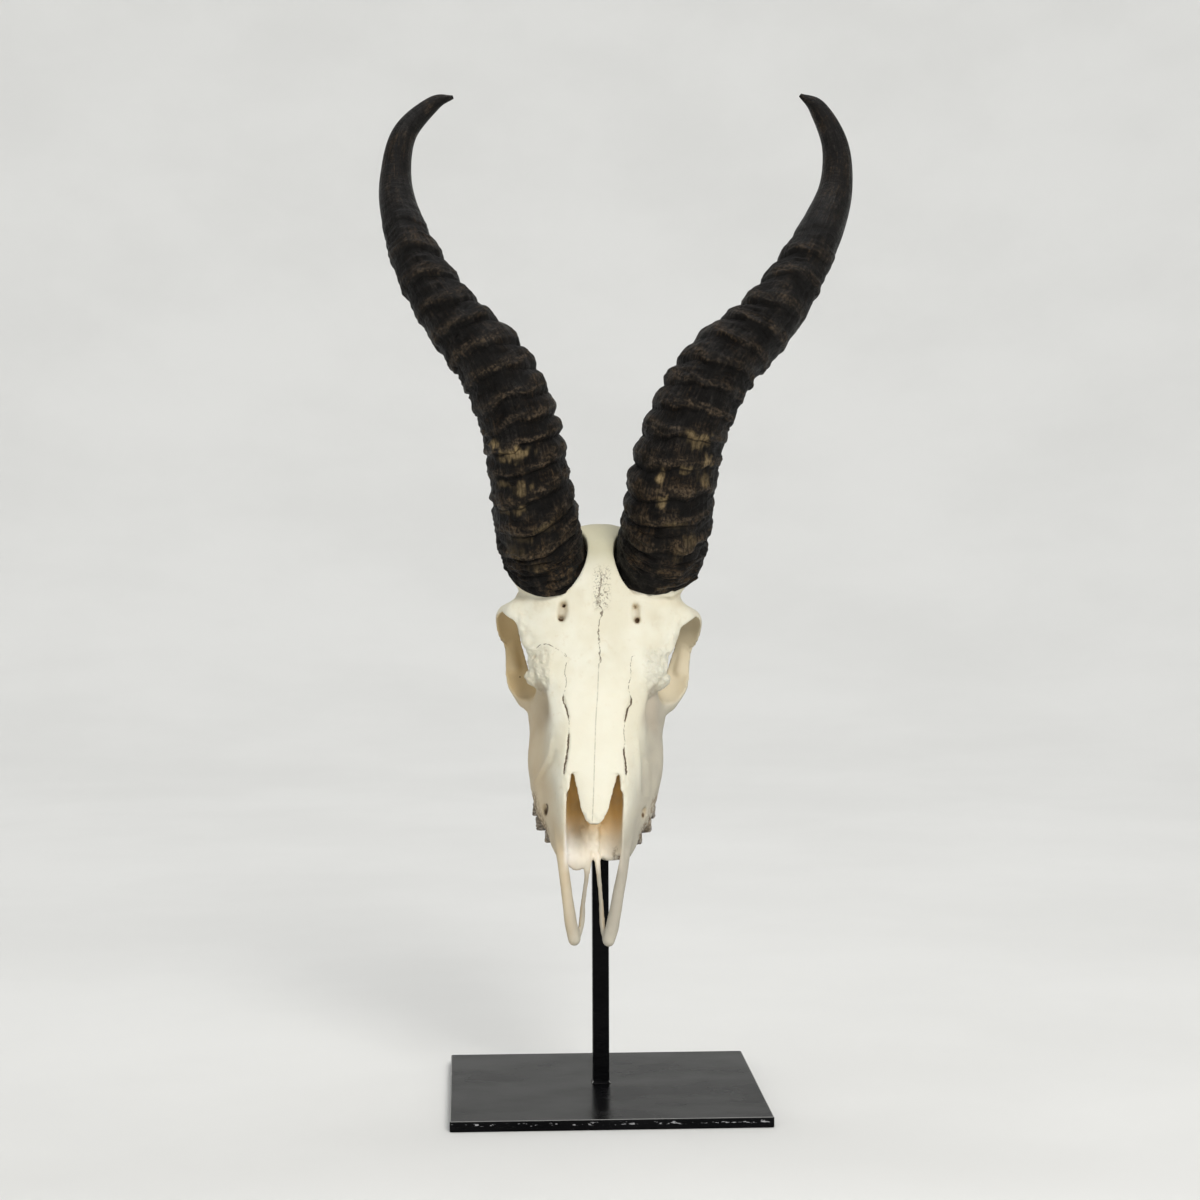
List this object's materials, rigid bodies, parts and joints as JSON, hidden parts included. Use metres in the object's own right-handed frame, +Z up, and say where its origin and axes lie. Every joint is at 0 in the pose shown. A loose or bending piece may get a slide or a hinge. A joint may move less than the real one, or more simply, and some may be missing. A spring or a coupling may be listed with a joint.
{
  "type": "horned antelope skull on a stand",
  "caption": "Cleaned antelope skull with ringed, lyre-shaped horns, hung nose down on a square steel post that stands on a square steel plate.",
  "frame": {"origin": "middle of the plate's underside, where the stand rests", "axes": "+Z up along the post, -Y the way the face looks, +X towards the horn called right"},
  "size_m": [0.2282, 0.15, 0.4871],
  "materials": {
    "blackened_steel": "satin black",
    "bone": "bleached dry bone, matt ivory",
    "horn": "dark brown horn, satin and fibrous",
    "tooth": "stained enamel"
  },
  "bodies": {
    "root": {"base_plate": "blackened_steel", "post": "blackened_steel", "skull": "bone", "horn_left": "horn", "horn_right": "horn", "premolar_2_left": "tooth", "premolar_3_left": "tooth", "premolar_4_left": "tooth", "molar_1_left": "tooth", "molar_2_left": "tooth", "molar_3_left": "tooth", "premolar_2_right": "tooth", "premolar_3_right": "tooth", "premolar_4_right": "tooth", "molar_1_right": "tooth", "molar_2_right": "tooth", "molar_3_right": "tooth"}
  },
  "joints": []
}
